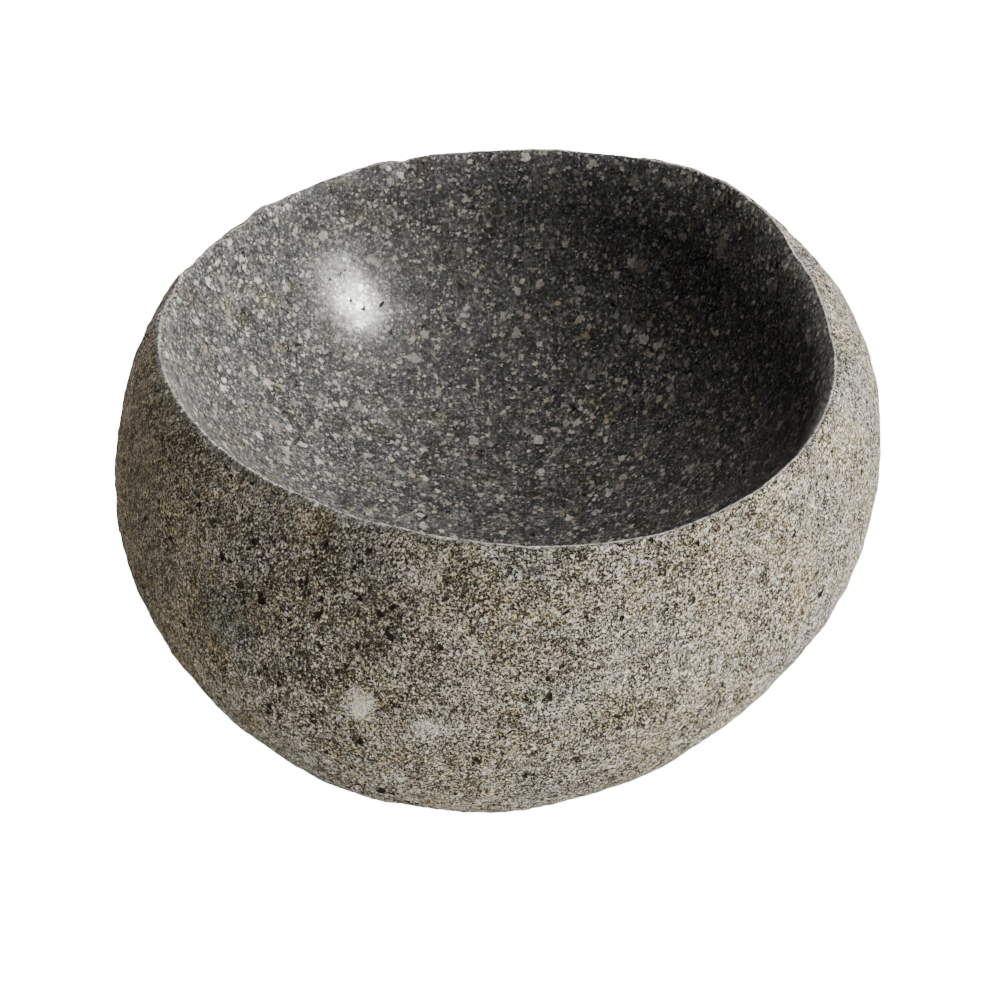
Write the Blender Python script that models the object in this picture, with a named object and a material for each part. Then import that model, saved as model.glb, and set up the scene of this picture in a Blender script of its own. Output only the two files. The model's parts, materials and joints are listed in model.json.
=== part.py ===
"""A bowl carved from one rounded river stone.

The stone keeps its natural outside: a belly that leans out further than the mouth, and a round underside
that a ground flat foot cuts off. The basin is one smooth hollow, and a narrow rounded lip joins the two.
The origin is the middle of the foot, with +Z up through the mouth. Sizes are in metres.
"""

import math
from typing import NamedTuple

import bmesh
import bpy
import numpy as np


class Station(NamedTuple):
    """The stone in one compass direction: its belly, where the side stands upright, and its mouth."""

    belly_radius: float
    belly_height: float
    mouth_radius: float
    mouth_height: float


# One station every 30 degrees, counter-clockwise from +X.
STATIONS = (
    Station(0.1075, 0.067, 0.0885, 0.1130),  # +X, the right
    Station(0.1105, 0.068, 0.0900, 0.1165),
    Station(0.1115, 0.067, 0.0965, 0.1145),
    Station(0.1105, 0.065, 0.0970, 0.1115),  # +Y, the back
    Station(0.1095, 0.062, 0.0990, 0.1085),
    Station(0.1090, 0.060, 0.0975, 0.1045),
    Station(0.1085, 0.057, 0.0935, 0.1045),  # -X, the left
    Station(0.1065, 0.053, 0.0895, 0.1040),
    Station(0.1100, 0.051, 0.0915, 0.1055),
    Station(0.1120, 0.054, 0.0985, 0.1065),  # -Y, the front
    Station(0.1045, 0.060, 0.1030, 0.1080),
    Station(0.1025, 0.064, 0.0970, 0.1125),
)

UNDERSIDE_CENTRE_RADIUS = 0.048  # where the round underside would lie level
FOOT_CUT = 0.0015  # how far the foot's plane cuts into the round underside
SHOULDER_SWEEP = math.radians(68)  # the arc from the belly up to the lip
LIP_OUT = 0.0014  # the lip's crest to its outer edge
LIP_IN = 0.0014  # the lip's crest to its inner edge
LIP_DROP = 0.0010  # both edges lie this far under the crest
BASIN_FLOOR = 0.042  # the stone left under the basin
BASIN_SWEEP = math.radians(70)  # the arc from the basin's middle up to the lip

SEGMENTS = 60
FOOT_RINGS = (0.35, 0.75)  # parts of the foot's radius
UNDERSIDE_ROWS = 11
SHOULDER_ROWS = 8
BASIN_ROWS = 13

STONE_COLOUR = (0.20, 0.185, 0.16, 1.0)
STONE_ROUGHNESS = 0.75


def clear_scene() -> None:
    """Remove every object that the scene already holds."""
    for leftover in list(bpy.data.objects):
        bpy.data.objects.remove(leftover, do_unlink=True)


def stone_material() -> bpy.types.Material:
    """Return the plain dark grey-brown of the stone."""
    material = bpy.data.materials.new("river_stone")
    material.use_nodes = True
    shader = material.node_tree.nodes["Principled BSDF"]
    shader.inputs["Base Color"].default_value = STONE_COLOUR
    shader.inputs["Roughness"].default_value = STONE_ROUGHNESS
    shader.inputs["Metallic"].default_value = 0.0
    return material


def station_at(angle: float) -> Station:
    """Return the stone in any direction, on smooth closed waves through the stations."""
    count = len(STATIONS)
    waves = np.fft.rfft(np.array(STATIONS), axis=0) / count
    turn = np.exp(1j * angle * np.arange(len(waves)))
    share = np.full(len(waves), 2.0)
    share[0] = 1.0
    share[-1] = 1.0
    return Station(*(waves * (turn * share)[:, None]).real.sum(axis=0))


def underside(stone: Station) -> list:
    """Return the elliptical arc from the foot's edge up to the belly, as (radius, height) points."""
    rise = stone.belly_height + FOOT_CUT
    reach = stone.belly_radius - UNDERSIDE_CENTRE_RADIUS
    first = math.acos(stone.belly_height / rise)
    points = []
    for row in range(UNDERSIDE_ROWS):
        angle = first + (math.pi / 2 - first) * row / UNDERSIDE_ROWS
        radius = UNDERSIDE_CENTRE_RADIUS + reach * math.sin(angle)
        points.append((radius, rise * (1 - math.cos(angle)) - FOOT_CUT))
    return points


def shoulder(stone: Station) -> list:
    """Return the arc from the belly up and in to the lip's outer edge."""
    run = stone.belly_radius - stone.mouth_radius - LIP_OUT
    climb = stone.mouth_height - LIP_DROP - stone.belly_height
    points = []
    for row in range(SHOULDER_ROWS + 1):
        # The rows crowd towards the lip, whose curve is much tighter.
        angle = SHOULDER_SWEEP * math.sin(math.pi / 2 * row / SHOULDER_ROWS)
        inward = run * (1 - math.cos(angle)) / (1 - math.cos(SHOULDER_SWEEP))
        points.append((stone.belly_radius - inward,
                       stone.belly_height + climb * math.sin(angle) / math.sin(SHOULDER_SWEEP)))
    return points


def basin(stone: Station) -> list:
    """Return the hollow's arc from the lip's inner edge down towards the middle of the floor."""
    radius = stone.mouth_radius - LIP_IN
    depth = stone.mouth_height - LIP_DROP - BASIN_FLOOR
    points = []
    for row in range(BASIN_ROWS):
        angle = BASIN_SWEEP * (1 - row / BASIN_ROWS)
        rise = depth * (1 - math.cos(angle)) / (1 - math.cos(BASIN_SWEEP))
        points.append((radius * math.sin(angle) / math.sin(BASIN_SWEEP), BASIN_FLOOR + rise))
    return points


def section(angle: float) -> list:
    """Return the stone's whole outline in one direction, from the foot's middle round to the basin's."""
    stone = station_at(angle)
    side = underside(stone)
    foot_radius = side[0][0]
    foot = [(foot_radius * part, 0.0) for part in FOOT_RINGS]
    crest = [(stone.mouth_radius, stone.mouth_height)]
    return foot + side + shoulder(stone) + crest + basin(stone)


def stone_bowl() -> bpy.types.Object:
    """Spin a plain tube, lay its rings on the stone's outlines and close both its ends."""
    rings = len(section(0.0))
    mesh = bmesh.new()
    rail = [mesh.verts.new((1.0, 0.0, ring)) for ring in range(rings)]
    edges = [mesh.edges.new(pair) for pair in zip(rail, rail[1:])]
    bmesh.ops.spin(mesh, geom=rail + edges, cent=(0, 0, 0), axis=(0, 0, 1),
                   angle=2 * math.pi, steps=SEGMENTS, use_merge=True)

    outlines = {}
    for vertex in mesh.verts:
        angle = math.atan2(vertex.co.y, vertex.co.x)
        segment = round(angle / (2 * math.pi) * SEGMENTS) % SEGMENTS
        if segment not in outlines:
            outlines[segment] = section(angle)
        radius, height = outlines[segment][round(vertex.co.z)]
        vertex.co = (radius * math.cos(angle), radius * math.sin(angle), height)

    open_edges = [edge for edge in mesh.edges if edge.is_boundary]
    lids = bmesh.ops.holes_fill(mesh, edges=open_edges, sides=SEGMENTS)["faces"]
    for middle in bmesh.ops.poke(mesh, faces=lids)["verts"]:
        floor = 0.0 if middle.co.z < BASIN_FLOOR / 2 else BASIN_FLOOR
        middle.co = (0.0, 0.0, floor)
    bmesh.ops.recalc_face_normals(mesh, faces=mesh.faces)
    for face in mesh.faces:
        # Only the ground foot is flat.
        face.smooth = any(vertex.co.z > 0.0 for vertex in face.verts)

    data = bpy.data.meshes.new("stone_bowl")
    mesh.to_mesh(data)
    mesh.free()
    data.materials.append(stone_material())
    bowl = bpy.data.objects.new("stone_bowl", data)
    bpy.context.scene.collection.objects.link(bowl)
    return bowl


clear_scene()
stone_bowl()
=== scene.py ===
"""A bowl carved from one rounded river stone, standing on a pale table.

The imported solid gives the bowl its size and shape. Here a copy of it is refined, weathered and dressed:
a rough pitted rind outside, a crumbly ground lip, a honed basin and a flat foot. Sizes are in metres.
"""

from __future__ import annotations

import json
import logging
import math
from collections import deque
from dataclasses import dataclass, field, replace
from enum import Enum

import bmesh
import bpy
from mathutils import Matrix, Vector, noise

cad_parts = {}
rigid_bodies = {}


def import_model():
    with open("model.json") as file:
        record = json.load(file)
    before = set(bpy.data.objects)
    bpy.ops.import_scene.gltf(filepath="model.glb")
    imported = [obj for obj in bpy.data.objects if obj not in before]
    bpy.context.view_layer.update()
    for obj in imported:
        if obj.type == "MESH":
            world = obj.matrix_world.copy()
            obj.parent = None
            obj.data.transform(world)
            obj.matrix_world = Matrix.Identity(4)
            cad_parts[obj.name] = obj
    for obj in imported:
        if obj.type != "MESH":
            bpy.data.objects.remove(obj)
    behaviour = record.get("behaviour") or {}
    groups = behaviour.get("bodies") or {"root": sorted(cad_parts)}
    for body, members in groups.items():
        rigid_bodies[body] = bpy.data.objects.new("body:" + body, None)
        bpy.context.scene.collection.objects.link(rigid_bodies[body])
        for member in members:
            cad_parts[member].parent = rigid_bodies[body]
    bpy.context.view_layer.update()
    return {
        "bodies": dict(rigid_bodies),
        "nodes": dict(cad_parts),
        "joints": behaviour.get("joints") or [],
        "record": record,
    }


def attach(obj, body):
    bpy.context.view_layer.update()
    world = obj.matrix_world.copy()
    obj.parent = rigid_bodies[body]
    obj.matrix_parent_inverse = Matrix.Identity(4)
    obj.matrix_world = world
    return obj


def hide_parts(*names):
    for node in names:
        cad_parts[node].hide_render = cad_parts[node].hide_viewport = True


LOG = logging.getLogger("stone_bowl")
MM = 0.001
WARP_SEED = 4

Colour = tuple[float, float, float]
Place = tuple[float, float, float]
Tones = tuple[tuple[float, Colour], ...]
Spots = tuple[tuple[Place, float], ...]
Step = tuple[float, float]
Socket = bpy.types.NodeSocket


class Zone(Enum):
    """The parts of the stone's surface, each with its own finish and material slot."""

    FOOT = 0
    RIND = 1
    LIP = 2
    BASIN = 3


def eased(share: float) -> float:
    """Return a share from 0 to 1 with a soft start and a soft end."""
    return share * share * (3.0 - 2.0 * share)


# --- Node work ---


class NodeBench:
    """Places and wires the nodes of one tree."""

    def __init__(self, tree: bpy.types.NodeTree) -> None:
        """Start work on a tree.

        Args:
            tree: A material's or a group's node tree.
        """
        self.tree = tree

    def place(self, kind: str, wires: dict | None = None, **settings) -> bpy.types.Node:
        """Add one node.

        Args:
            kind: The node's type name.
            wires: A socket to link, or a value to set, for each input by name or number.
            settings: The node's own properties.

        Returns:
            The new node.
        """
        node = self.tree.nodes.new(kind)
        for name, value in settings.items():
            setattr(node, name, value)
        for key, value in (wires or {}).items():
            self.feed(node.inputs[key], value)
        return node

    def feed(self, target: Socket, value: Socket | float | tuple) -> None:
        """Link a socket to an input, or set the input's own value."""
        if isinstance(value, bpy.types.NodeSocket):
            self.tree.links.new(value, target)
        elif isinstance(value, tuple) and len(value) == 3 and target.type == "RGBA":
            target.default_value = (*value, 1.0)
        else:
            target.default_value = value

    def sum_of(self, operation: str, first: Socket | float, second: Socket | float = 0.0,
               third: Socket | float = 0.0) -> Socket:
        """Return one arithmetic operation on two or three numbers."""
        node = self.place("ShaderNodeMath", {0: first, 1: second, 2: third}, operation=operation)
        return node.outputs[0]

    def product(self, first: Socket, second: Socket | float) -> Socket:
        """Return the product of two numbers."""
        return self.sum_of("MULTIPLY", first, second)

    def scaled_sum(self, value: Socket, scale: Socket | float, rest: Socket | float) -> Socket:
        """Return value times scale, plus the rest."""
        return self.sum_of("MULTIPLY_ADD", value, scale, rest)

    def larger(self, first: Socket, second: Socket) -> Socket:
        """Return the larger of two numbers."""
        return self.sum_of("MAXIMUM", first, second)

    def vector_of(self, operation: str, wires: dict) -> bpy.types.Node:
        """Return the node of one operation on vectors."""
        return self.place("ShaderNodeVectorMath", wires, operation=operation)

    def attribute(self, name: str) -> Socket:
        """Return a number that the mesh holds for each of its points."""
        return self.place("ShaderNodeAttribute", attribute_name=name).outputs["Fac"]

    def cloud(self, place: Socket, scale: Socket | float, detail: float,
              roughness: Socket | float = 0.5) -> bpy.types.Node:
        """Return the node of a cloudy noise."""
        return self.place("ShaderNodeTexNoise",
                          {"Vector": place, "Scale": scale, "Detail": detail, "Roughness": roughness})

    def between(self, value: Socket, low: float | Socket, high: float | Socket) -> Socket:
        """Return a smooth step that goes from 0 to 1 as value goes from low to high."""
        node = self.place("ShaderNodeMapRange",
                          {"Value": value, "From Min": low, "From Max": high, "To Min": 0.0, "To Max": 1.0},
                          interpolation_type="SMOOTHSTEP")
        return node.outputs[0]

    def blend(self, share: Socket | float, under: Socket | Colour, over: Socket | Colour,
              mode: str = "MIX") -> Socket:
        """Return one colour laid over another.

        Args:
            share: How much of the upper colour shows, 0 to 1.
            under: The lower colour.
            over: The upper colour.
            mode: The blend type.

        Returns:
            The mixed colour.
        """
        node = self.place("ShaderNodeMix", data_type="RGBA", blend_type=mode)
        self.feed(node.inputs["Factor"], share)
        self.feed(node.inputs[6], under)
        self.feed(node.inputs[7], over)
        return node.outputs[2]

    def cross(self, share: Socket | float, under: Socket | float, over: Socket | float) -> Socket:
        """Return a number part of the way from one to another."""
        node = self.place("ShaderNodeMix", {"Factor": share}, data_type="FLOAT")
        self.feed(node.inputs[2], under)
        self.feed(node.inputs[3], over)
        return node.outputs[0]

    def ramp(self, value: Socket, tones: Tones) -> Socket:
        """Return the colour that a number has on a ramp of colours.

        Args:
            value: The number, 0 to 1.
            tones: Each colour with its place on the ramp, in order.

        Returns:
            The colour.
        """
        node = self.place("ShaderNodeValToRGB", {"Fac": value})
        elements = node.color_ramp.elements
        while len(elements) < len(tones):
            elements.new(0.5)
        for element, (position, colour) in zip(elements, tones):
            element.position = position
            element.color = (*colour, 1.0)
        return node.outputs["Color"]


def new_group(name: str, numbers: dict[str, float], outputs: tuple[str, ...]) -> tuple:
    """Make an empty shader node group that takes a vector and some numbers, and puts out numbers.

    Args:
        name: The group's name.
        numbers: Each number input with its first value.
        outputs: The outputs' names.

    Returns:
        The group, a bench on its tree, the sockets that it takes and its output node.
    """
    group = bpy.data.node_groups.new(name, "ShaderNodeTree")
    group.interface.new_socket("Vector", in_out="INPUT", socket_type="NodeSocketVector")
    for label, value in numbers.items():
        socket = group.interface.new_socket(label, in_out="INPUT", socket_type="NodeSocketFloat")
        socket.default_value = value
    for label in outputs:
        group.interface.new_socket(label, in_out="OUTPUT", socket_type="NodeSocketFloat")
    bench = NodeBench(group)
    return group, bench, bench.place("NodeGroupInput").outputs, bench.place("NodeGroupOutput")


class StoneEffects:
    """The patterns that more than one of the stone's finishes uses, each a node group built once."""

    shakes_per_grain: float = 2.3
    shake_detail: float = 1.0
    smallest_grain: float = 0.5
    grain_growth: float = 0.6
    pepper_detail: float = 3.0
    patch_detail: float = 3.0
    patch_roughness: float = 0.55

    def __init__(self) -> None:
        """Build every group."""
        self.crystals = self._crystals()
        self.pepper = self._pepper()
        self.patches = self._patches()

    def _crystals(self) -> bpy.types.NodeTree:
        """Return the group that scatters angular mineral grains: a mask and two random numbers a grain."""
        group, bench, taken, given = new_group(
            "mineral grains",
            {"Spacing": 2 * MM, "Share": 0.4, "Fill": 0.45, "Edge": 0.08, "Raggedness": 0.3},
            ("Mask", "Tone", "Hue"))
        scale = bench.sum_of("DIVIDE", 1.0, taken["Spacing"])
        place = bench.vector_of("SCALE", {0: taken["Vector"], "Scale": scale}).outputs[0]
        shake = bench.cloud(place, self.shakes_per_grain, self.shake_detail).outputs["Color"]
        offset = bench.vector_of("SUBTRACT", {0: shake, 1: (0.5, 0.5, 0.5)}).outputs[0]
        ragged = bench.vector_of("SCALE", {0: offset, "Scale": taken["Raggedness"]}).outputs[0]
        moved = bench.vector_of("ADD", {0: place, 1: ragged}).outputs[0]
        cells = bench.place("ShaderNodeTexVoronoi", {"Vector": moved, "Scale": 1.0}, feature="F1")
        choice, tone, hue = bench.place("ShaderNodeSeparateColor", {"Color": cells.outputs["Color"]}).outputs
        chosen = bench.sum_of("LESS_THAN", choice, taken["Share"])
        reach = bench.product(taken["Fill"], bench.scaled_sum(tone, self.grain_growth, self.smallest_grain))
        inner = bench.sum_of("SUBTRACT", reach, taken["Edge"])
        body = bench.between(cells.outputs["Distance"], reach, inner)
        bench.feed(given.inputs["Mask"], bench.product(body, chosen))
        bench.feed(given.inputs["Tone"], tone)
        bench.feed(given.inputs["Hue"], hue)
        return group

    def _pepper(self) -> bpy.types.NodeTree:
        """Return the group for fine salt and pepper: 0 in the stone's dark gaps, 1 on its pale grains."""
        group, bench, taken, given = new_group(
            "salt and pepper", {"Size": 1 * MM, "Low": 0.35, "High": 0.65, "Roughness": 0.6}, ("Value",))
        scale = bench.sum_of("DIVIDE", 1.0, taken["Size"])
        cloud = bench.cloud(taken["Vector"], scale, self.pepper_detail, taken["Roughness"]).outputs["Fac"]
        bench.feed(given.inputs["Value"], bench.between(cloud, taken["Low"], taken["High"]))
        return group

    def _patches(self) -> bpy.types.NodeTree:
        """Return the group for broad blotches in the stone, as a mask from 0 to 1."""
        group, bench, taken, given = new_group(
            "broad patches", {"Size": 30 * MM, "Low": 0.5, "High": 0.7, "Shift": 0.0}, ("Mask",))
        scale = bench.sum_of("DIVIDE", 1.0, taken["Size"])
        apart = bench.place("ShaderNodeCombineXYZ", {"X": taken["Shift"], "Z": taken["Shift"]}).outputs[0]
        place = bench.vector_of("ADD", {0: taken["Vector"], 1: apart}).outputs[0]
        cloud = bench.cloud(place, scale, self.patch_detail, self.patch_roughness).outputs["Fac"]
        bench.feed(given.inputs["Mask"], bench.between(cloud, taken["Low"], taken["High"]))
        return group


@dataclass(frozen=True)
class Scatter:
    """Mineral grains of one kind: how far apart, how many show, their size and edge, and their tone.

    The spacing is in metres. The other numbers are shares: of the grains that show, of the spacing that a
    grain fills, of its soft edge and of its ragged outline. The tone starts at least and reaches span higher.
    """

    spacing: float
    share: float
    fill: float
    edge: float
    raggedness: float
    least: float = 0.0
    span: float = 0.0


@dataclass(frozen=True)
class Pepper:
    """Salt and pepper of one size: what comes out black, what comes out white, and how rough it is."""

    size: float
    low: float
    high: float
    roughness: float


@dataclass(frozen=True)
class Patches:
    """Broad blotches of one size: where they start and are full, and a shift that tells them apart."""

    size: float
    low: float
    high: float
    shift: float


@dataclass(frozen=True)
class Look:
    """What a recipe hands to a shader: a colour, a roughness, a polish and a height in metres."""

    colour: Socket
    roughness: Socket
    polish: Socket | float
    height: Socket


class StoneFinish:
    """A material in the making: its bench, its coordinates and its Principled shader."""

    spot_shake_size: float = 9 * MM
    spot_detail: float = 4.0
    spot_roughness: float = 0.7
    spot_shake: float = 1.6
    spot_reach: float = 1.9
    polish_roughness: float = 0.18

    def __init__(self, name: str, effects: StoneEffects) -> None:
        """Start a material.

        Args:
            name: The material's name.
            effects: The shared node groups.
        """
        self.material = bpy.data.materials.new(name)
        self.material.use_nodes = True
        self.effects = effects
        self.bench = NodeBench(self.material.node_tree)
        self.shader = self.material.node_tree.nodes["Principled BSDF"]
        self.place = self.bench.place("ShaderNodeTexCoord").outputs["Object"]

    def effect(self, group: bpy.types.NodeTree, values: dict) -> bpy.types.Node:
        """Return a group's node with its inputs fed."""
        return self.bench.place("ShaderNodeGroup", {"Vector": self.place, **values}, node_tree=group)

    def grains(self, scatter: Scatter, share: Socket | None = None) -> bpy.types.Node:
        """Return mineral grains, with the scatter's own share showing or one that varies over the stone."""
        return self.effect(self.effects.crystals, {
            "Spacing": scatter.spacing, "Share": scatter.share if share is None else share,
            "Fill": scatter.fill, "Edge": scatter.edge, "Raggedness": scatter.raggedness})

    def pepper(self, pepper: Pepper) -> Socket:
        """Return the fine salt and pepper, from 0 to 1."""
        return self.effect(self.effects.pepper, {
            "Size": pepper.size, "Low": pepper.low, "High": pepper.high,
            "Roughness": pepper.roughness}).outputs["Value"]

    def patches(self, patches: Patches) -> Socket:
        """Return broad blotches, from 0 to 1."""
        return self.effect(self.effects.patches, {
            "Size": patches.size, "Low": patches.low, "High": patches.high,
            "Shift": patches.shift}).outputs["Mask"]

    def spots(self, spots: Spots) -> Socket:
        """Return soft ragged spots around given places.

        Args:
            spots: Each spot's middle and its radius.

        Returns:
            A mask that is 1 in the middle of a spot and 0 outside them all.
        """
        bench = self.bench
        shake = bench.cloud(self.place, 1 / self.spot_shake_size, self.spot_detail,
                            self.spot_roughness).outputs["Fac"]
        mask = None
        for middle, radius in spots:
            away = bench.vector_of("DISTANCE", {0: self.place, 1: middle}).outputs["Value"]
            ragged = bench.scaled_sum(shake, self.spot_shake * radius, away)
            spot = bench.between(ragged, self.spot_reach * radius, radius)
            mask = spot if mask is None else bench.larger(mask, spot)
        return mask

    def leaning(self, towards: Place, step: Step) -> Socket:
        """Return a soft step in one direction, between the two distances in metres from the middle."""
        along = self.bench.vector_of("DOT_PRODUCT", {0: self.place, 1: towards}).outputs["Value"]
        return self.bench.between(along, *step)

    def tinted(self, share: Socket, colour: Socket, tint: Colour) -> Socket:
        """Return a colour with a share of a tint multiplied into it."""
        return self.bench.blend(share, colour, tint, "MULTIPLY")

    def strewn(self, tone: Socket, grains: bpy.types.Node, bright: Socket, cover: float) -> Socket:
        """Return a tone with grains of their own brightness lying in it."""
        return self.bench.cross(self.bench.product(grains.outputs["Mask"], cover), tone, bright)

    def laid_over(self, share: Socket, under: Look, upper: Look) -> Look:
        """Return one look laid over another by a mask."""
        return Look(self.bench.blend(share, under.colour, upper.colour),
                    self.bench.cross(share, under.roughness, upper.roughness),
                    self.bench.cross(share, under.polish, upper.polish),
                    self.bench.cross(share, under.height, upper.height))

    def finished(self, look: Look, specular: float) -> bpy.types.Material:
        """Wire a look to the shader and return the material."""
        bump = self.bench.place("ShaderNodeBump", {"Height": look.height, "Distance": 1.0})
        self.bench.feed(self.shader.inputs["Base Color"], look.colour)
        self.bench.feed(self.shader.inputs["Roughness"], look.roughness)
        self.bench.feed(self.shader.inputs["Coat Weight"], look.polish)
        self.bench.feed(self.shader.inputs["Normal"], bump.outputs["Normal"])
        self.shader.inputs["Coat Roughness"].default_value = self.polish_roughness
        self.shader.inputs["Specular IOR Level"].default_value = specular
        return self.material


@dataclass(frozen=True)
class Rind:
    """The stone's natural outside: grains of every tone stand out of dark gaps, with holes and stains."""

    tones: Tones = (
        (0.00, (0.002, 0.001, 0.001)),
        (0.23, (0.013, 0.009, 0.004)),
        (0.40, (0.090, 0.079, 0.060)),
        (0.50, (0.300, 0.271, 0.217)),
        (0.63, (0.620, 0.582, 0.498)),
        (0.78, (0.880, 0.846, 0.766)),
        (1.00, (0.970, 0.950, 0.900)),
    )
    speckle: Pepper = Pepper(0.75 * MM, 0.30, 0.70, 0.85)
    speckle_tone: float = 0.40
    grit: Pepper = Pepper(0.45 * MM, 0.36, 0.64, 0.7)
    grit_tone: float = 0.10
    clumps: Pepper = Pepper(2.8 * MM, 0.32, 0.68, 0.6)
    clump_tone: float = 0.20
    grains: tuple[Scatter, ...] = (
        Scatter(1.15 * MM, 0.60, 0.60, 0.22, 0.8, least=0.16, span=0.72),
        Scatter(0.75 * MM, 0.36, 0.54, 0.20, 0.6, least=0.40, span=0.60),
        Scatter(6.5 * MM, 0.10, 0.30, 0.07, 0.6, least=0.40, span=0.25),
    )
    grain_cover: float = 0.85
    gap_tone: float = 0.52
    gap_contrast: float = 0.50
    sparkle: float = 0.32
    worn_front: Spots = (((-46 * MM, -94 * MM, 78 * MM), 34 * MM),)
    holes: Scatter = Scatter(3.0 * MM, 0.20, 0.34, 0.18, 1.0)
    holes_where_worn: float = 0.42
    caves: Scatter = Scatter(6.0 * MM, 0.08, 0.34, 0.20, 1.3)
    caves_where_worn: float = 0.55
    # Painted shade: how far the colour is darkened in the holes and in the open pits.
    hollow_shade: float = 0.80
    pit_shade: float = 0.55
    mottle: Patches = Patches(11 * MM, 0.35, 0.70, 0.17)
    mottle_where_worn: float = 0.6
    mottle_shade: float = 0.07
    bruises: Spots = (
        ((-34 * MM, -104 * MM, 61 * MM), 6.5 * MM),
        ((-17 * MM, -108 * MM, 57 * MM), 6.0 * MM),
        ((-66 * MM, -75 * MM, 79 * MM), 4.0 * MM),
        ((62 * MM, 84 * MM, 60 * MM), 6.0 * MM),
    )
    bruise_light: float = 0.36
    bruise_polish: float = 0.1
    straw: Colour = (1.00, 0.92, 0.72)
    straw_areas: Patches = Patches(20 * MM, 0.40, 0.62, 0.53)
    straw_grains: Patches = Patches(2.2 * MM, 0.42, 0.58, 0.91)
    straw_least: float = 0.25
    cool: Colour = (0.84, 0.90, 0.97)
    cool_grains: Patches = Patches(2.6 * MM, 0.54, 0.64, 0.07)
    cool_areas: Patches = Patches(34 * MM, 0.50, 0.68, 0.31)
    warm: Colour = (0.94, 0.85, 0.68)
    warm_areas: Patches = Patches(24 * MM, 0.56, 0.78, 0.0)
    stains: Spots = (
        ((-60 * MM, -84 * MM, 75 * MM), 11 * MM),
        ((-74 * MM, -78 * MM, 56 * MM), 9 * MM),
        ((-46 * MM, -84 * MM, 101 * MM), 8 * MM),
        ((30 * MM, 104 * MM, 78 * MM), 13 * MM),
    )
    slate: Colour = (0.62, 0.67, 0.72)
    slate_spots: Spots = (
        ((-70 * MM, -80 * MM, 70 * MM), 15 * MM),
        ((20 * MM, 108 * MM, 60 * MM), 18 * MM),
    )
    # Down the left flank a browner, darker tint is multiplied in: partly the stone's browner colour there,
    # partly painted shade for the side turned away from the key light.
    shadowed_flank: Colour = (0.74, 0.63, 0.48)
    shadowed_flank_side: Place = (-1.0, 0.0, 0.0)
    shadowed_flank_step: Step = (62 * MM, 108 * MM)
    relief: float = 1.0 * MM
    clump_relief: float = 0.9 * MM
    hole_depth: float = 1.3 * MM
    roughness: float = 0.9
    specular: float = 0.12

    def look(self, finish: StoneFinish) -> Look:
        """Return the rind's look, made with a material's bench."""
        bench = finish.bench
        clumps = finish.pepper(self.clumps)
        worn = finish.spots(self.worn_front)
        bruised = finish.spots(self.bruises)
        hollow = self.hollows(finish, worn)
        tone = self.grained(finish, clumps)
        tone = self.aged(finish, tone, worn, bruised)
        # Painted shade: the holes and the open pits are darkened in colour.
        tone = self.shaded(bench, tone, hollow)
        raised = bench.scaled_sum(tone, self.relief, bench.product(clumps, self.clump_relief))
        height = bench.scaled_sum(hollow, -self.hole_depth, raised)
        rough = bench.cross(bruised, self.roughness, self.roughness - self.bruise_polish)
        return Look(self.coloured(finish, tone), rough, 0.0, height)

    def hollows(self, finish: StoneFinish, worn: Socket) -> Socket:
        """Return a mask of the small holes and larger caves, which lie closest where the front is worn."""
        holes_share = finish.bench.cross(worn, self.holes.share, self.holes_where_worn)
        caves_share = finish.bench.cross(worn, self.caves.share, self.caves_where_worn)
        return finish.bench.larger(finish.grains(self.holes, holes_share).outputs["Mask"],
                                   finish.grains(self.caves, caves_share).outputs["Mask"])

    def grained(self, finish: StoneFinish, clumps: Socket) -> Socket:
        """Return the tone of the grains and of the dark gaps between them."""
        bench = finish.bench
        speckle = finish.pepper(self.speckle)
        grit = finish.pepper(self.grit)
        tone = bench.scaled_sum(speckle, self.speckle_tone, bench.product(grit, self.grit_tone))
        tone = bench.scaled_sum(clumps, self.clump_tone, tone)
        for scatter in self.grains:
            grains = finish.grains(scatter)
            bright = bench.scaled_sum(grains.outputs["Hue"], scatter.span, scatter.least)
            tone = finish.strewn(tone, grains, bright, self.grain_cover)
        tone = bench.product(tone, bench.scaled_sum(speckle, self.gap_contrast, self.gap_tone))
        return bench.scaled_sum(grit, self.sparkle, tone)

    def aged(self, finish: StoneFinish, tone: Socket, worn: Socket, bruised: Socket) -> Socket:
        """Return a tone darkened by the mottle and whitened where the stone is bruised."""
        bench = finish.bench
        mottle = bench.scaled_sum(worn, self.mottle_where_worn, finish.patches(self.mottle))
        tone = bench.scaled_sum(mottle, -self.mottle_shade, tone)
        return bench.scaled_sum(bruised, self.bruise_light, tone)

    def shaded(self, bench: NodeBench, tone: Socket, hollow: Socket) -> Socket:
        """Return a tone with painted shade darkening the holes and the open pits."""
        dark = bench.larger(bench.product(hollow, self.hollow_shade),
                            bench.product(bench.attribute("pit"), self.pit_shade))
        return bench.product(tone, bench.sum_of("SUBTRACT", 1.0, dark))

    def coloured(self, finish: StoneFinish, tone: Socket) -> Socket:
        """Return a tone's colour, tinted by patches and by the stains, and browner and darker down the left
        flank, partly its own colour and partly painted shade.
        """
        bench = finish.bench
        straw = bench.cross(finish.patches(self.straw_areas), self.straw_least, 1.0)
        straw = bench.product(straw, finish.patches(self.straw_grains))
        warm = bench.larger(finish.patches(self.warm_areas), finish.spots(self.stains))
        colour = bench.ramp(tone, self.tones)
        for share, tint in (
            (straw, self.straw),
            (finish.patches(self.cool_grains), self.cool),
            (warm, self.warm),
            (finish.patches(self.cool_areas), self.cool),
            (finish.spots(self.slate_spots), self.slate),
            # Partly the stone's colour, partly painted shade: browner and darker down the left flank.
            (finish.leaning(self.shadowed_flank_side, self.shadowed_flank_step), self.shadowed_flank),
        ):
            colour = finish.tinted(share, colour, tint)
        return colour


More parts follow.
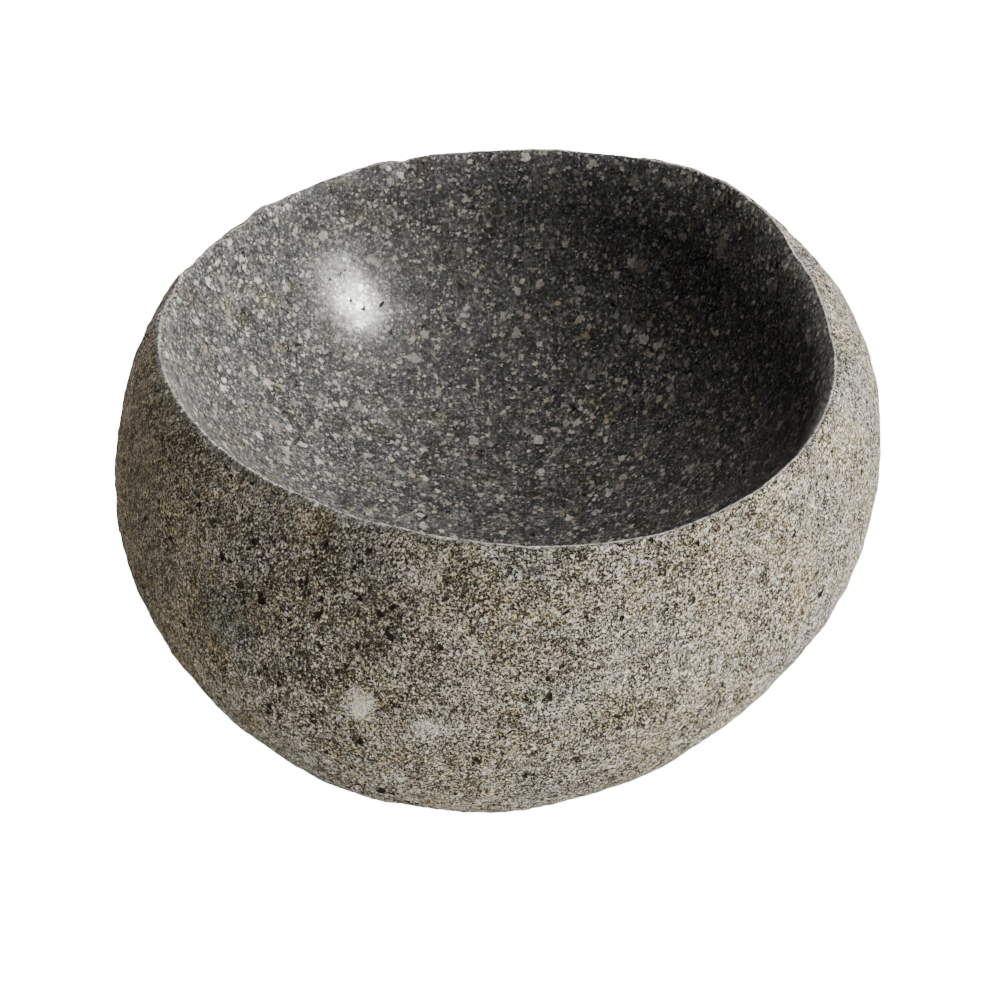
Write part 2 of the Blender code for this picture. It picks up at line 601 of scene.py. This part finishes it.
@dataclass(frozen=True)
class Basin:
    """The honed hollow: a dark blue-grey matrix full of cut white, grey and cream crystals."""

    tones: Tones = (
        (0.00, (0.008, 0.008, 0.008)),
        (0.20, (0.028, 0.028, 0.029)),
        (0.36, (0.082, 0.083, 0.083)),
        (0.54, (0.222, 0.218, 0.203)),
        (0.80, (0.425, 0.409, 0.369)),
        (1.00, (0.650, 0.635, 0.590)),
    )
    matrix: Pepper = Pepper(1.0 * MM, 0.26, 0.74, 0.8)
    matrix_tone: float = 0.44
    clouds: Pepper = Pepper(5.0 * MM, 0.30, 0.70, 0.6)
    cloud_tone: float = 0.13
    flecks: Scatter = Scatter(0.9 * MM, 0.55, 0.56, 0.22, 0.9, least=0.30, span=0.58)
    crystals: Scatter = Scatter(1.9 * MM, 0.55, 0.50, 0.16, 0.8, least=0.38, span=0.54)
    large: Scatter = Scatter(3.8 * MM, 0.36, 0.44, 0.10, 0.7, least=0.42, span=0.46)
    clasts: Scatter = Scatter(8.0 * MM, 0.20, 0.28, 0.05, 1.0, least=0.46, span=0.16)
    grain_cover: float = 0.8
    grain_least: float = 0.75
    grain_contrast: float = 0.5
    holes: Scatter = Scatter(3.0 * MM, 0.12, 0.30, 0.12, 1.2)
    holes_where_pocked: float = 0.60
    # Painted shade: the holes in the honed face are coloured almost black.
    painted_hole_shade: float = 0.02
    hole_depth: float = 0.35 * MM
    pocked: Spots = (((-46 * MM, 65 * MM, 80 * MM), 26 * MM),)
    cream: Colour = (1.00, 0.92, 0.78)
    cream_step: Step = (0.62, 0.80)
    rosy: Colour = (0.98, 0.86, 0.80)
    rusty: Colour = (0.98, 0.89, 0.74)
    rust: Patches = Patches(9 * MM, 0.54, 0.68, 1.9)
    relief: float = 0.045 * MM
    roughness: float = 0.52
    wear: Patches = Patches(20 * MM, 0.35, 0.7, 0.7)
    wear_step: Step = (-0.05, 0.08)
    matrix_polish: float = 0.12
    crystal_polish: float = 0.95
    polish_step: Step = (-5 * MM, -20 * MM)
    specular: float = 0.10

    def look(self, finish: StoneFinish) -> Look:
        """Return the basin's look, made with a material's bench."""
        bench = finish.bench
        rust = finish.patches(self.rust)
        crystals = finish.grains(self.crystals)
        clasts = finish.grains(self.clasts)
        grains = (
            (self.flecks, finish.grains(self.flecks)),
            (self.crystals, crystals),
            (self.large, finish.grains(self.large)),
            (self.clasts, clasts),
        )
        pocked = bench.larger(rust, finish.spots(self.pocked))
        holes_share = bench.cross(pocked, self.holes.share, self.holes_where_pocked)
        holes = finish.grains(self.holes, holes_share).outputs["Mask"]
        # Painted shade: the holes are coloured almost black.
        tone = bench.cross(holes, self.cut_grains(finish, grains), self.painted_hole_shade)
        creamy = bench.product(crystals.outputs["Mask"],
                               bench.between(crystals.outputs["Tone"], *self.cream_step))
        colour = finish.tinted(creamy, bench.ramp(tone, self.tones), self.cream)
        colour = finish.tinted(rust, colour, self.rusty)
        colour = finish.tinted(clasts.outputs["Mask"], colour, self.rosy)
        smoother, rougher = (self.roughness + change for change in self.wear_step)
        rough = bench.cross(finish.patches(self.wear), smoother, rougher)
        height = bench.scaled_sum(holes, -self.hole_depth, bench.product(tone, self.relief))
        return Look(colour, rough, self.polished(bench, tone, holes), height)

    def cut_grains(self, finish: StoneFinish, grains: tuple[tuple[Scatter, bpy.types.Node], ...]) -> Socket:
        """Return the tone of the matrix with its cut grains, each kind given with its node."""
        bench = finish.bench
        matrix = finish.pepper(self.matrix)
        tone = bench.scaled_sum(matrix, self.matrix_tone,
                                bench.product(finish.pepper(self.clouds), self.cloud_tone))
        for scatter, node in grains:
            bright = bench.scaled_sum(node.outputs["Hue"], scatter.span, scatter.least)
            bright = bench.product(bright, bench.scaled_sum(matrix, self.grain_contrast, self.grain_least))
            tone = finish.strewn(tone, node, bright, self.grain_cover)
        return tone

    def polished(self, bench: NodeBench, tone: Socket, holes: Socket) -> Socket:
        """Return the polish: most on the pale crystals, none in the holes, fading out towards the lip."""
        polish = bench.scaled_sum(tone, self.crystal_polish, self.matrix_polish)
        polish = bench.cross(holes, polish, 0.0)
        return bench.product(polish, bench.between(bench.attribute("away"), *self.polish_step))


@dataclass(frozen=True)
class CutGrains:
    """A ground surface: grains cut through in a darker mass, and the paler a point is, the smoother."""

    tones: Tones
    speckle: Pepper
    speckle_tone: float
    grains: Scatter
    relief: float
    roughness: float
    smoothing: float
    specular: float

    def look(self, finish: StoneFinish) -> Look:
        """Return the surface's look, made with a material's bench."""
        bench = finish.bench
        grains = finish.grains(self.grains)
        bright = bench.scaled_sum(grains.outputs["Hue"], self.grains.span, self.grains.least)
        mass = bench.product(finish.pepper(self.speckle), self.speckle_tone)
        tone = bench.cross(grains.outputs["Mask"], mass, bright)
        rough = bench.scaled_sum(tone, -self.smoothing, self.roughness)
        return Look(bench.ramp(tone, self.tones), rough, 0.0, bench.product(tone, self.relief))


@dataclass(frozen=True)
class Crumble(CutGrains):
    """The broken grains of the ground lip, paler than the rind."""

    tones: Tones = (
        (0.00, (0.008, 0.007, 0.006)),
        (0.25, (0.050, 0.048, 0.042)),
        (0.50, (0.230, 0.222, 0.200)),
        (1.00, (0.760, 0.750, 0.710)),
    )
    speckle: Pepper = Pepper(0.9 * MM, 0.28, 0.70, 0.8)
    speckle_tone: float = 0.6
    grains: Scatter = Scatter(1.4 * MM, 0.6, 0.55, 0.20, 0.8, least=0.30, span=0.60)
    relief: float = 0.40 * MM
    roughness: float = 0.75
    smoothing: float = 0.10
    specular: float = 0.10


@dataclass(frozen=True)
class Foot(CutGrains):
    """The flat that the bowl stands on, ground matt."""

    tones: Tones = (
        (0.00, (0.050, 0.048, 0.044)),
        (0.50, (0.160, 0.155, 0.145)),
        (1.00, (0.420, 0.410, 0.380)),
    )
    speckle: Pepper = Pepper(1.0 * MM, 0.30, 0.70, 0.8)
    speckle_tone: float = 0.5
    grains: Scatter = Scatter(1.9 * MM, 0.45, 0.50, 0.16, 0.6, least=0.45, span=0.5)
    relief: float = 0.10 * MM
    roughness: float = 0.72
    smoothing: float = 0.08
    specular: float = 0.20


@dataclass(frozen=True)
class Lip:
    """The ground band round the mouth: the basin gives way to crumbled grains, and those to the rind.

    The mesh's "lip" number says how far across the band a point lies: -1 where it starts on the basin's
    side, 0 on the crest, and 1 where it ends outside. Its "away" number is the way from the crest in metres.
    """

    basin: Basin = Basin()
    crumble: Crumble = Crumble()
    rind: Rind = Rind()
    basin_ends: Step = (-1.15, -0.85)
    rind_starts: Step = (0.7, 1.3)
    shake: float = 3.0
    shake_size: float = 2.2 * MM
    shake_detail: float = 3.0
    shake_roughness: float = 0.75
    edge_colour: Colour = (0.62, 0.60, 0.54)
    edge_step: Step = (1.60 * MM, 1.20 * MM)
    edge_shake: float = 2.2 * MM
    edge_wear: Pepper = Pepper(1.0 * MM, 0.30, 0.62, 0.85)
    edge_cover: float = 0.7
    specular: float = 0.10

    def look(self, finish: StoneFinish) -> Look:
        """Return the lip's look, made with a material's bench."""
        bench = finish.bench
        shake = bench.cloud(finish.place, 1 / self.shake_size, self.shake_detail,
                            self.shake_roughness).outputs["Fac"]
        ragged = bench.sum_of("ADD", bench.attribute("lip"),
                              bench.scaled_sum(shake, self.shake, -self.shake / 2))
        look = finish.laid_over(bench.between(ragged, *self.basin_ends),
                                self.basin.look(finish), self.crumble.look(finish))
        look = finish.laid_over(bench.between(ragged, *self.rind_starts), look, self.rind.look(finish))
        return replace(look, colour=bench.blend(self.worn_edge(finish, shake), look.colour, self.edge_colour))

    def worn_edge(self, finish: StoneFinish, shake: Socket) -> Socket:
        """Return a mask of the pale broken line that follows the crest."""
        bench = finish.bench
        from_crest = bench.sum_of("ABSOLUTE", bench.attribute("away"))
        line = bench.between(bench.scaled_sum(shake, self.edge_shake, from_crest), *self.edge_step)
        return bench.product(line, bench.product(finish.pepper(self.edge_wear), self.edge_cover))


Recipe = Rind | Basin | CutGrains | Lip


def dressed(name: str, recipe: Recipe, effects: StoneEffects) -> bpy.types.Material:
    """Return a material that shows one recipe all over."""
    finish = StoneFinish(name, effects)
    return finish.finished(recipe.look(finish), recipe.specular)


# --- The stone ---


@dataclass(frozen=True)
class Nick:
    """A small dip or rise in the rim: its direction, its half-width and how far it drops the crest."""

    direction: float
    half_width: float
    drop: float

    def at(self, angle: float) -> float:
        """Return the nick's drop in a direction, both angles in degrees."""
        away = (angle - self.direction + 180.0) % 360.0 - 180.0
        return self.drop * math.exp(-((away / self.half_width) ** 2))


@dataclass(frozen=True)
class Rim:
    """What the cutter left of the rim: its nicks, and how wide its ground band is in each direction."""

    nicks: tuple[Nick, ...] = (
        Nick(-5.0, 3.0, 1.3 * MM),
        Nick(8.0, 4.0, -0.5 * MM),
        Nick(20.0, 4.5, 1.5 * MM),
        Nick(107.0, 1.6, 1.0 * MM),
        Nick(111.0, 2.2, -0.6 * MM),
        Nick(135.0, 2.0, -0.8 * MM),
        Nick(140.0, 2.2, 1.3 * MM),
        Nick(160.0, 2.5, -0.9 * MM),
        Nick(165.0, 3.0, 0.7 * MM),
        Nick(213.0, 2.5, 0.6 * MM),
        Nick(248.0, 4.0, 0.5 * MM),
        Nick(320.0, 3.5, 0.5 * MM),
    )
    widest: float = 2.0 * MM
    narrowest: float = 0.7 * MM
    widest_direction: float = 212.0
    ripple: float = 0.35 * MM
    ripple_size: float = 5.5 * MM
    reach: float = 9.0 * MM

    def band(self, angle: float) -> float:
        """Return the ground band's half-width in a direction in degrees."""
        facing = max(0.0, math.cos(math.radians(angle - self.widest_direction)))
        return self.narrowest + (self.widest - self.narrowest) * facing ** 2

    def drop(self, point: Vector, away: float) -> float:
        """Return how far the rim drops at a point that lies a distance away from the crest."""
        angle = math.degrees(math.atan2(point.y, point.x))
        nicks = sum(nick.at(angle) for nick in self.nicks)
        ripple = noise.noise(point / self.ripple_size) * self.ripple
        return (nicks + ripple) * eased(max(0.0, 1.0 - abs(away) / self.reach))


@dataclass(frozen=True)
class Weathering:
    """The shapes that the river left on the outside of the stone.

    The shifts move one noise away from another, so that they don't line up. The two draws turn a pit's cell
    into a number for whether it is open and a number for its size.
    """

    lump_size: float = 24 * MM
    lump_height: float = 0.9 * MM
    knob_size: float = 7.5 * MM
    knob_height: float = 0.5 * MM
    knob_shift: Place = (7.1, 3.3, 5.7)
    grain_size: float = 2.6 * MM
    grain_height: float = 0.30 * MM
    grain_shift: Place = (1.9, 8.2, 4.4)
    pit_spacing: float = 7.5 * MM
    pit_radius: float = 2.0 * MM
    pit_depth: float = 1.7 * MM
    pit_share: float = 0.25
    pit_share_in_front: float = 0.62
    least_pit: float = 0.55
    pit_growth: float = 1.35
    pitted_middle: Place = (-46 * MM, -94 * MM, 76 * MM)
    pitted_radius: float = 52 * MM
    pit_warp_size: float = 1.6
    pit_warp: float = 0.4
    open_draw: float = 31.7
    open_shift: Place = (0.5, 0.5, 0.5)
    open_gain: float = 1.6
    open_middle: float = 0.5
    size_draw: float = 17.3

    def relief(self, point: Vector) -> float:
        """Return how far the surface stands out at a point, without its pits."""
        lumps = noise.noise(point / self.lump_size) * self.lump_height
        knobs = noise.noise(point / self.knob_size + Vector(self.knob_shift)) * self.knob_height
        grain = noise.noise(point / self.grain_size + Vector(self.grain_shift)) * self.grain_height
        return lumps + knobs + grain

    def is_open(self, cell: Vector) -> bool:
        """Return whether a pit's cell holds an open pit, which is likelier in front."""
        draw = noise.noise(cell * self.open_draw + Vector(self.open_shift))
        draw = draw * self.open_gain + self.open_middle
        in_front = (cell * self.pit_spacing - Vector(self.pitted_middle)).length < self.pitted_radius
        return draw <= (self.pit_share_in_front if in_front else self.pit_share)

    def pit(self, point: Vector) -> float:
        """Return how deep inside an open pit a point lies: 0 outside every pit, 1 at the bottom of one."""
        warp = noise.noise_vector(point / (self.pit_warp_size * self.pit_radius))
        warp = warp * (self.pit_warp * self.pit_radius)
        distances, cells = noise.voronoi((point + warp) / self.pit_spacing)
        if not self.is_open(cells[0]):
            return 0.0
        size = self.least_pit + self.pit_growth * abs(noise.noise(cells[0] * self.size_draw))
        inside = 1.0 - distances[0] * self.pit_spacing / (self.pit_radius * size)
        return eased(min(1.0, max(0.0, inside)))


@dataclass
class StoneBowl:
    """The bowl: the frame's solid, refined, weathered and dressed as one closed piece.

    Every point gets four numbers. "rind" is its share of the weathering, "lip" its place across the ground
    band, "away" its way from the crest in metres, and "pit" its depth inside an open pit, from 0 to 1.
    """

    frame: dict
    node: str = "stone_bowl"
    body: str = "root"
    slot: str = "river_stone"
    numbers: tuple[str, ...] = ("rind", "lip", "away", "pit")
    merge: float = 0.01 * MM
    least_turn: float = math.radians(1.0)
    foot_rings: tuple[float, ...] = (3 * MM, 20 * MM)
    lip_rows: int = 2
    crest_share: float = 0.4
    levels: int = 2
    refined_from: float = -3.5 * MM
    weathering: Weathering = field(default_factory=Weathering)
    rim: Rim = field(default_factory=Rim)
    finishes: tuple[tuple[str, Recipe], ...] = (
        ("ground_foot", Foot()),
        ("river_stone_rind", Rind()),
        ("ground_lip", Lip()),
        ("honed_basin", Basin()),
    )

    def squared_copy(self) -> bmesh.types.BMesh:
        """Return a merged copy of the solid, of four-sided faces with one plain face for the foot."""
        stone = bmesh.new()
        stone.from_mesh(self.frame["nodes"][self.node].data)
        bmesh.ops.remove_doubles(stone, verts=stone.verts, dist=self.merge)
        for name in self.numbers:
            stone.verts.layers.float.new(name)
        foot = [face for face in stone.faces if max(vert.co.z for vert in face.verts) < self.merge]
        bmesh.ops.dissolve_faces(stone, faces=foot)
        rings = self.ring_numbers(stone)
        diagonals = [edge for edge in stone.edges if self.is_diagonal(edge, rings)]
        bmesh.ops.dissolve_edges(stone, edges=diagonals, use_verts=False)
        return stone

    def is_diagonal(self, edge: bmesh.types.BMEdge, rings: dict[bmesh.types.BMVert, int]) -> bool:
        """Return whether an edge runs from one ring to the next and also turns round the bowl."""
        low, high = edge.verts
        if rings[low] == rings[high] or 0 in (rings[low], rings[high]):
            return False
        return low.co.xy.angle(high.co.xy) > self.least_turn

    @staticmethod
    def ring_numbers(stone: bmesh.types.BMesh) -> dict[bmesh.types.BMVert, int]:
        """Count every point's ring, from the middle of the basin up over the lip and down to the foot."""
        middle = max(stone.verts, key=lambda vert: len(vert.link_edges))
        rings = {middle: 0}
        queue = deque([middle])
        while queue:
            vert = queue.popleft()
            for edge in vert.link_edges:
                other = edge.other_vert(vert)
                if other not in rings:
                    rings[other] = rings[vert] + 1
                    queue.append(other)
        return rings

    @staticmethod
    def crest_ring(rings: dict[bmesh.types.BMVert, int]) -> int:
        """Return the number of the highest ring."""
        heights: dict[int, list[float]] = {}
        for vert, ring in rings.items():
            heights.setdefault(ring, []).append(vert.co.z)
        return max(heights, key=lambda ring: sum(heights[ring]) / len(heights[ring]))

    @staticmethod
    def measured(stone: bmesh.types.BMesh, rings: dict[bmesh.types.BMVert, int], crest: int) -> None:
        """Note every point's way from the crest along the stone's outline, negative in the basin."""
        away = stone.verts.layers.float["away"]
        for vert in sorted(rings, key=lambda one: abs(rings[one] - crest)):
            step = 1 if rings[vert] > crest else -1
            for edge in vert.link_edges:
                other = edge.other_vert(vert)
                if rings[vert] != crest and rings[other] == rings[vert] - step:
                    vert[away] = other[away] + step * edge.calc_length()

    def rind_share(self, ring: int, crest: int, last: int) -> float:
        """Return a ring's share of the weathering: none in the basin and on the foot's edge, all outside."""
        if ring < crest or ring == last:
            return 0.0
        return self.crest_share if ring == crest else 1.0

    def zone(self, ring: int, crest: int, last: int) -> Zone:
        """Return the zone of a face whose innermost ring is given."""
        if ring == last:
            return Zone.FOOT
        if ring >= crest + self.lip_rows:
            return Zone.RIND
        return Zone.LIP if ring >= crest - self.lip_rows else Zone.BASIN

    def zoned(self, stone: bmesh.types.BMesh) -> None:
        """Give every face its zone's material slot, and every point its place across the lip."""
        rings = self.ring_numbers(stone)
        crest = self.crest_ring(rings)
        last = max(rings.values())
        self.measured(stone, rings, crest)
        rind, lip, away = (stone.verts.layers.float[name] for name in ("rind", "lip", "away"))
        for vert, ring in rings.items():
            vert[rind] = self.rind_share(ring, crest, last)
            vert[lip] = vert[away] / self.rim.band(math.degrees(math.atan2(vert.co.y, vert.co.x)))
        for face in stone.faces:
            face.smooth = True
            face.material_index = self.zone(min(rings[vert] for vert in face.verts), crest, last).value

    def footed(self, stone: bmesh.types.BMesh) -> None:
        """Set rings into the foot's one face, which keep its edge sharp, and close it on a middle point."""
        sole = next(face for face in stone.faces if face.material_index == Zone.FOOT.value)
        for width in self.foot_rings:
            bmesh.ops.inset_region(stone, faces=[sole], thickness=width, use_even_offset=True)
        bmesh.ops.poke(stone, faces=[sole])

    def smoothed(self, stone: bmesh.types.BMesh) -> bmesh.types.BMesh:
        """Return the stone on a subdivision surface."""
        data = bpy.data.meshes.new("rough_block")
        stone.to_mesh(data)
        stone.free()
        block = bpy.data.objects.new("rough_block", data)
        bpy.context.scene.collection.objects.link(block)
        surface = block.modifiers.new("surface", "SUBSURF")
        surface.levels = self.levels
        surface.render_levels = self.levels
        smooth = bpy.data.meshes.new_from_object(block.evaluated_get(bpy.context.evaluated_depsgraph_get()))
        bpy.data.objects.remove(block, do_unlink=True)
        fine = bmesh.new()
        fine.from_mesh(smooth)
        bpy.data.meshes.remove(smooth)
        return fine

    def refined(self, stone: bmesh.types.BMesh) -> None:
        """Cut the faces of the outside and of the lip once more, where the weathering needs them."""
        away = stone.verts.layers.float["away"]
        outside = [face for face in stone.faces if face.material_index != Zone.FOOT.value
                   and any(vert[away] > self.refined_from for vert in face.verts)]
        edges = list(dict.fromkeys(edge for face in outside for edge in face.edges))
        bmesh.ops.subdivide_edges(stone, edges=edges, cuts=1, use_grid_fill=True)

    def weathered(self, stone: bmesh.types.BMesh) -> None:
        """Nick the rim, push the outside in and out, and mark the pits for the finish."""
        rind, away, pit_mark = (stone.verts.layers.float[name] for name in ("rind", "away", "pit"))
        stone.normal_update()
        moves = []
        for vert in stone.verts:
            share = vert[rind]
            near_rim = abs(vert[away]) < self.rim.reach
            if share <= 0.0 and not near_rim:
                continue
            place = vert.co.copy()
            if share > 0.0:
                pit = self.weathering.pit(vert.co) * share
                push = self.weathering.relief(vert.co) * share - pit * self.weathering.pit_depth
                place += vert.normal * push
                vert[pit_mark] = pit
            if near_rim:
                place.z -= self.rim.drop(vert.co, vert[away])
            moves.append((vert, place))
        for vert, place in moves:
            vert.co = place

    def build(self, effects: StoneEffects) -> bpy.types.Object:
        """Make the finished bowl and put it in the place of the frame's solid.

        Args:
            effects: The shared node groups.

        Returns:
            The bowl's object.
        """
        stone = self.squared_copy()
        self.zoned(stone)
        self.footed(stone)
        stone = self.smoothed(stone)
        self.refined(stone)
        self.weathered(stone)
        data = bpy.data.meshes.new("carved_stone")
        stone.to_mesh(data)
        stone.free()
        for name, recipe in self.finishes:
            data.materials.append(dressed(name, recipe, effects))
        bowl = bpy.data.objects.new("carved_stone", data)
        bpy.context.scene.collection.objects.link(bowl)
        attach(bowl, self.body)
        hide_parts(self.node)
        triangles = sum(len(face.vertices) - 2 for face in data.polygons)
        LOG.info("%s: %d triangles, slots %s", bowl.name, triangles, [slot.name for slot in data.materials])
        return bowl


# --- The studio ---


@dataclass(frozen=True)
class Softbox:
    """One soft area light that looks at the bowl from a direction in degrees."""

    name: str
    azimuth: float
    elevation: float
    distance: float
    size: float
    watts: float
    colour: Colour = (1.0, 0.98, 0.94)
    aim: Place = (0.0, 0.0, 0.06)
    matt: bool = True
    gloss: bool = True

    def light(self) -> bpy.types.Object:
        """Return the lamp, hung in its place."""
        data = bpy.data.lights.new(self.name, "AREA")
        data.shape = "SQUARE"
        data.size = self.size
        data.energy = self.watts
        data.color = self.colour
        level = math.cos(math.radians(self.elevation))
        turn = math.radians(self.azimuth)
        out = Vector((level * math.cos(turn), level * math.sin(turn), math.sin(math.radians(self.elevation))))
        lamp = bpy.data.objects.new(self.name, data)
        lamp.visible_diffuse = self.matt
        lamp.visible_glossy = self.gloss
        lamp.location = Vector(self.aim) + out * self.distance
        lamp.rotation_euler = (-out).to_track_quat("-Z", "Y").to_euler()
        bpy.context.scene.collection.objects.link(lamp)
        return lamp


@dataclass(frozen=True)
class Studio:
    """The pale table, the lights and the camera."""

    camera_elevation: float = math.radians(35.0)
    camera_distance: float = 0.79
    camera_lens: float = 100.0
    sensor_width: float = 36.0
    aim_height: float = 0.0505
    table_size: float = 6.0
    table_colour: Colour = (0.80, 0.80, 0.80)
    table_roughness: float = 0.9
    white: Colour = (1.0, 1.0, 1.0)
    table_glow: float = 16.0
    backdrop_glow: float = 24.0
    ambient: float = 0.004
    softboxes: tuple[Softbox, ...] = (
        Softbox("key", 12.0, 24.0, 1.10, 0.70, 40.0, gloss=False),
        Softbox("high", 26.0, 59.0, 1.10, 0.34, 12.5, gloss=False),
        Softbox("spark", -26.0, 49.5, 1.06, 0.22, 24.0, matt=False),
        Softbox("glint", -26.0, 42.0, 1.06, 0.26, 8.0, matt=False),
        Softbox("low_right", -30.0, 1.0, 1.00, 0.16, 8.0),
        Softbox("low_front", -72.0, 1.0, 1.00, 0.14, 8.0),
        Softbox("low_left", -150.0, 2.0, 1.00, 0.12, 4.5),
        Softbox("low_back", 125.0, 1.0, 1.00, 0.16, 7.0),
    )

    def camera(self) -> None:
        """Stand the camera in front of the bowl, looking down at it."""
        data = bpy.data.cameras.new("camera")
        data.lens = self.camera_lens
        data.sensor_width = self.sensor_width
        view = bpy.data.objects.new("camera", data)
        aim = Vector((0.0, 0.0, self.aim_height))
        back = Vector((0.0, -math.cos(self.camera_elevation), math.sin(self.camera_elevation)))
        view.location = aim + back * self.camera_distance
        view.rotation_euler = (-back).to_track_quat("-Z", "Y").to_euler()
        bpy.context.scene.collection.objects.link(view)
        bpy.context.scene.camera = view

    def table(self) -> None:
        """Lay the pale table that the bowl stands on, which the camera sees brightly lit from below."""
        plane = bmesh.new()
        bmesh.ops.create_grid(plane, x_segments=1, y_segments=1, size=self.table_size / 2)
        data = bpy.data.meshes.new("table_top")
        plane.to_mesh(data)
        plane.free()
        material = bpy.data.materials.new("pale_table")
        material.use_nodes = True
        bench = NodeBench(material.node_tree)
        shader = material.node_tree.nodes["Principled BSDF"]
        shader.inputs["Base Color"].default_value = (*self.table_colour, 1.0)
        shader.inputs["Roughness"].default_value = self.table_roughness
        shader.inputs["Emission Color"].default_value = (*self.white, 1.0)
        seen = bench.place("ShaderNodeLightPath").outputs["Is Camera Ray"]
        bench.feed(shader.inputs["Emission Strength"], bench.product(seen, self.table_glow))
        data.materials.append(material)
        table = bpy.data.objects.new("table_top", data)
        bpy.context.scene.collection.objects.link(table)

    def sky_light(self) -> None:
        """Surround the scene with a weak even light that the camera sees as white."""
        world = bpy.data.worlds.new("studio")
        world.use_nodes = True
        bench = NodeBench(world.node_tree)
        background = world.node_tree.nodes["Background"]
        background.inputs["Color"].default_value = (*self.white, 1.0)
        seen = bench.place("ShaderNodeLightPath").outputs["Is Camera Ray"]
        bench.feed(background.inputs["Strength"], bench.cross(seen, self.ambient, self.backdrop_glow))
        bpy.context.scene.world = world

    def build(self) -> None:
        """Set the whole studio up."""
        self.camera()
        self.table()
        self.sky_light()
        for softbox in self.softboxes:
            softbox.light()


def main() -> None:
    """Load the frame, then build the studio and the bowl.

    The seed fixes the warp of the pits' outlines, so that every run gives the same stone.
    """
    logging.basicConfig(level=logging.INFO, format="%(name)s: %(message)s")
    noise.seed_set(WARP_SEED)
    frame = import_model()
    Studio().build()
    StoneBowl(frame).build(StoneEffects())


if __name__ == "__main__":
    main()
